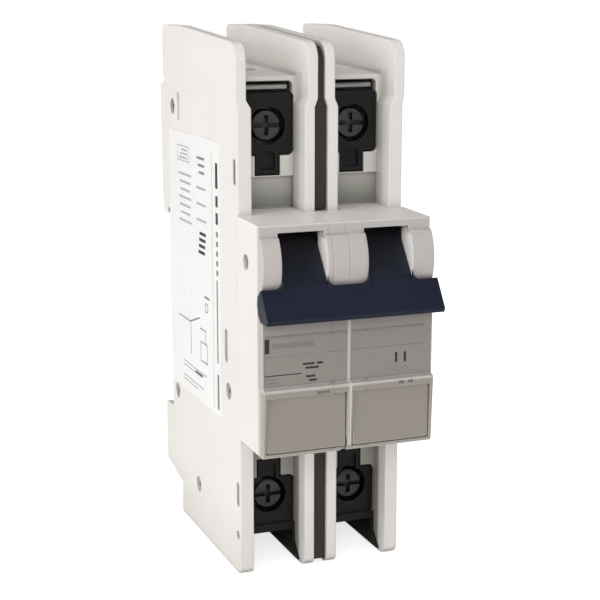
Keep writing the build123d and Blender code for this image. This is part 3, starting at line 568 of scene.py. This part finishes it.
def side_print():
    """Ruled rows, a column of dashes and a plain wiring sketch on the rating plate."""
    # column of dashes along the front edge, and the line beside it
    dark = [bar(-35.7, low, 1.5, high - low) for low, high in ((26.4, 31.6), (22.6, 24.9), (19.0, 21.4))]
    grey = [bar(-35.6, 8.4 + 2.0 * step, 1.3, 1.1) for step in range(5)]
    grey += [bar(-35.1, -10.2, 0.8, 17.6), bar(-35.4, -20.2, 1.2, 7.6)]
    pale = [bar(-32.0, -20.6, 0.22, 54.4)]

    # at the top, a box with rows in it and rows in front of it
    pale += box_outline(-16.2, 29.6, 9.0, 3.4, 0.25)
    for row in range(3):
        grey.append(bar(-26.8, 31.2 - 1.5 * row, 5.2 - 0.7 * row, 0.55))
        pale.append(bar(-14.8, 30.2 + 0.85 * row, 6.0 - 0.8 * row, 0.4))

    # rows of uneven length below the box, every second one with a partner, then a block of dark ones
    for row in range(7):
        v = 26.6 - 1.7 * row
        shift = row % 3
        pale.append(bar(-17.4 + 0.5 * shift, v, 9.2 - 1.1 * shift, 0.5))
        if row % 2:
            pale.append(bar(-27.6, v, 6.4, 0.5))
    for step in range(4):
        dark.append(bar(-27.4 + 0.3 * step, 15.2 - 1.35 * step, 4.4, 0.7))

    # a ring and a stroke
    grey += ring(-27.2, 0.0, 1.1, 0.3) + [bar(-29.4, 2.0, 3.6, 0.5)]

    # wiring sketch: a line, a blade and a coil box
    grey += [bar(-15.6, -5.4, 9.0, 0.3), bar(-15.8, -12.6, 0.3, 7.5), bar(-26.4, -5.4, 4.0, 0.3)]
    grey.append([(-15.6, -5.3), (-15.4, -5.0), (-22.2, -2.9), (-22.4, -3.2)])
    grey += box_outline(-27.6, -12.4, 5.0, 4.4, 0.28) + [bar(-26.5, -8.0, 0.3, 2.7)]

    # rows at the foot
    back_end = -9.8
    for front_end, v in ((-26.6, -15.3), (-23.4, -16.2), (-24.8, -18.6), (-20.4, -19.5)):
        pale.append(rule(front_end, back_end, v, 0.3))
    dark.append(bar(-24.0, -15.9, 5.4, 0.42))
    return dark, grey, pale


for sheet, place, base, slot_name in (
    (front_print(), on_nose, "nose_print", "nose_plate"),
    (side_print(), on_side, "rating_print", "rating_plate"),
):
    for outlines, finish in zip(sheet, ("ink", "grey_ink", "pale_ink")):
        printed(f"{base}_{finish}", outlines, place, finish)
nose_rules = [rule(NOSE_PRINT_LEFT, -0.4, 1.3, 0.42), rule(0.4, 16.0, 1.3, 0.36)]
printed("nose_rule", nose_rules, on_case, "grey_ink")


# ---------------------------------------------------------------- springs behind the rail clips
WIRE_RADIUS = 0.2 * MM
SPRING_TURNS = 12.25 / 1.35    # height over pitch, both in mm
WIRE_SIDES = 8
STEPS_PER_TURN = 20


def clip_spring(side):
    """Coil spring behind a rail clip; it stands for the rigid one."""
    name = f"clip_spring_{side}"
    low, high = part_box(name)
    centre = (low + high) / 2
    length = high.z - low.z
    coil_radius = (high.x - low.x) / 2 - WIRE_RADIUS
    rise = length - 2 * WIRE_RADIUS
    upward = Vector((0, 0, 1))
    steps = int(STEPS_PER_TURN * SPRING_TURNS)
    angles = [2 * math.pi * k / WIRE_SIDES for k in range(WIRE_SIDES)]

    mesh = bmesh.new()
    loops = []
    for i in range(steps + 1):
        turn = 2 * math.pi * SPRING_TURNS * i / steps
        outward = Vector((math.cos(turn), math.sin(turn), 0))
        on_axis = Vector((centre.x, centre.y, low.z + WIRE_RADIUS + rise * i / steps))
        middle = on_axis + coil_radius * outward
        loops.append([
            mesh.verts.new(middle + WIRE_RADIUS * (math.cos(t) * outward + math.sin(t) * upward))
            for t in angles
        ])
    for a, b in zip(loops, loops[1:]):
        for k in range(WIRE_SIDES):
            j = (k + 1) % WIRE_SIDES
            mesh.faces.new((a[k], a[j], b[j], b[k]))
    mesh.faces.new(loops[0])
    mesh.faces.new(loops[-1][::-1])
    bmesh.ops.recalc_face_normals(mesh, faces=mesh.faces)

    piece = case_piece(f"visible_{name}", mesh, "steel")
    for face in piece.data.polygons:
        face.use_smooth = len(face.vertices) == 4
    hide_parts(name)
    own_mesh(piece)


for side in ("left", "right"):
    clip_spring(side)


# ---------------------------------------------------------------- stage, light, camera
FLOOR_HALF_SIZE = 3.0        # metres
FLOOR_GAP = 0.2 * MM
FLOOR_GLOW = 0.74
SKY_SEEN = 1.0
SKY_FILL = 0.30
CAMERA_PLACE = (-0.1068, -0.3126, 0.0646)    # metres
CAMERA_PITCH_DOWN = 11.88    # degrees
CAMERA_TURN_RIGHT = 21.16    # degrees
FOCAL_LENGTH = 86.62         # mm
SENSOR_WIDTH = 36.0          # mm


def paper_material():
    """White paper that glows a little for the camera, so that it is seen as plain white."""
    g = Graph("floor_paper")
    tone = g.paint((250, 250, 249), g.ramp(g.noise(3, 3, 0.5), 0.3, 0.7), 0.5, (246, 246, 245))
    shader = g.add("ShaderNodeBsdfDiffuse")
    g.link(tone, shader.inputs["Color"])
    glow = g.add("ShaderNodeEmission")
    camera_ray = g.add("ShaderNodeLightPath").outputs["Is Camera Ray"]
    g.link(g.math("MULTIPLY", camera_ray, FLOOR_GLOW), glow.inputs["Strength"])
    both = g.add("ShaderNodeAddShader")
    g.link(shader.outputs[0], both.inputs[0])
    g.link(glow.outputs[0], both.inputs[1])
    g.link(both.outputs[0], g.output.inputs["Surface"])
    return g.material


def floor():
    """A level sheet of squares just below the object."""
    steps = 12
    lowest = cad_box[0][2] - FLOOR_GAP
    places = [FLOOR_HALF_SIZE * (2 * i / steps - 1) for i in range(steps + 1)]
    mesh = bmesh.new()
    rows = [[mesh.verts.new((x, y, lowest)) for x in places] for y in places]
    for near, far in zip(rows, rows[1:]):
        for j in range(steps):
            mesh.faces.new((near[j], near[j + 1], far[j + 1], far[j]))
    sheet = mesh_object("floor", mesh)
    sheet.data.materials.append(paper_material())


def world():
    """An even sky that is white where the camera sees it and dimmer as a light."""
    sky = bpy.data.worlds.new("studio")
    bpy.context.scene.world = sky
    sky.use_nodes = True
    tree = sky.node_tree
    tree.nodes.clear()

    def background(colour, strength):
        node = tree.nodes.new("ShaderNodeBackground")
        node.inputs["Color"].default_value = (*colour, 1)
        node.inputs["Strength"].default_value = strength
        return node.outputs[0]

    path = tree.nodes.new("ShaderNodeLightPath")
    mixer = tree.nodes.new("ShaderNodeMixShader")
    out = tree.nodes.new("ShaderNodeOutputWorld")
    tree.links.new(path.outputs["Is Camera Ray"], mixer.inputs[0])
    tree.links.new(background((1.0, 0.99, 0.98), SKY_FILL), mixer.inputs[1])
    tree.links.new(background((1, 1, 1), SKY_SEEN), mixer.inputs[2])
    tree.links.new(mixer.outputs[0], out.inputs["Surface"])


def camera():
    lens = bpy.data.cameras.new("camera")
    lens.sensor_width = SENSOR_WIDTH
    lens.lens = FOCAL_LENGTH
    lens.clip_start = 0.01
    eye = bpy.data.objects.new("camera", lens)
    bpy.context.scene.collection.objects.link(eye)
    eye.location = CAMERA_PLACE
    eye.rotation_euler = (math.radians(90 - CAMERA_PITCH_DOWN), 0.0, math.radians(-CAMERA_TURN_RIGHT))
    bpy.context.scene.camera = eye


def area_light(name, place, target, size, power, colour=(1, 1, 1)):
    light = bpy.data.lights.new(name, "AREA")
    light.shape = "RECTANGLE"
    light.size, light.size_y = size
    light.energy = power
    light.color = colour
    lamp = bpy.data.objects.new(name, light)
    bpy.context.scene.collection.objects.link(lamp)
    lamp.location = place
    lamp.rotation_euler = (Vector(target) - Vector(place)).to_track_quat("-Z", "Y").to_euler()


floor()
world()
camera()
area_light("key_left", (-0.80, -0.22, 0.30), (0, -0.03, 0), (0.6, 0.6), 4.6, (1.0, 0.99, 0.985))
area_light("front_fill", (-0.25, -0.9, 0.35), (0, -0.03, 0), (0.8, 0.6), 3.2, (1.0, 0.99, 0.99))
area_light("top_soft", (0.1, 0.1, 0.9), (0, 0, 0), (0.7, 0.7), 1.2)
bpy.context.scene.view_settings.view_transform = "Standard"
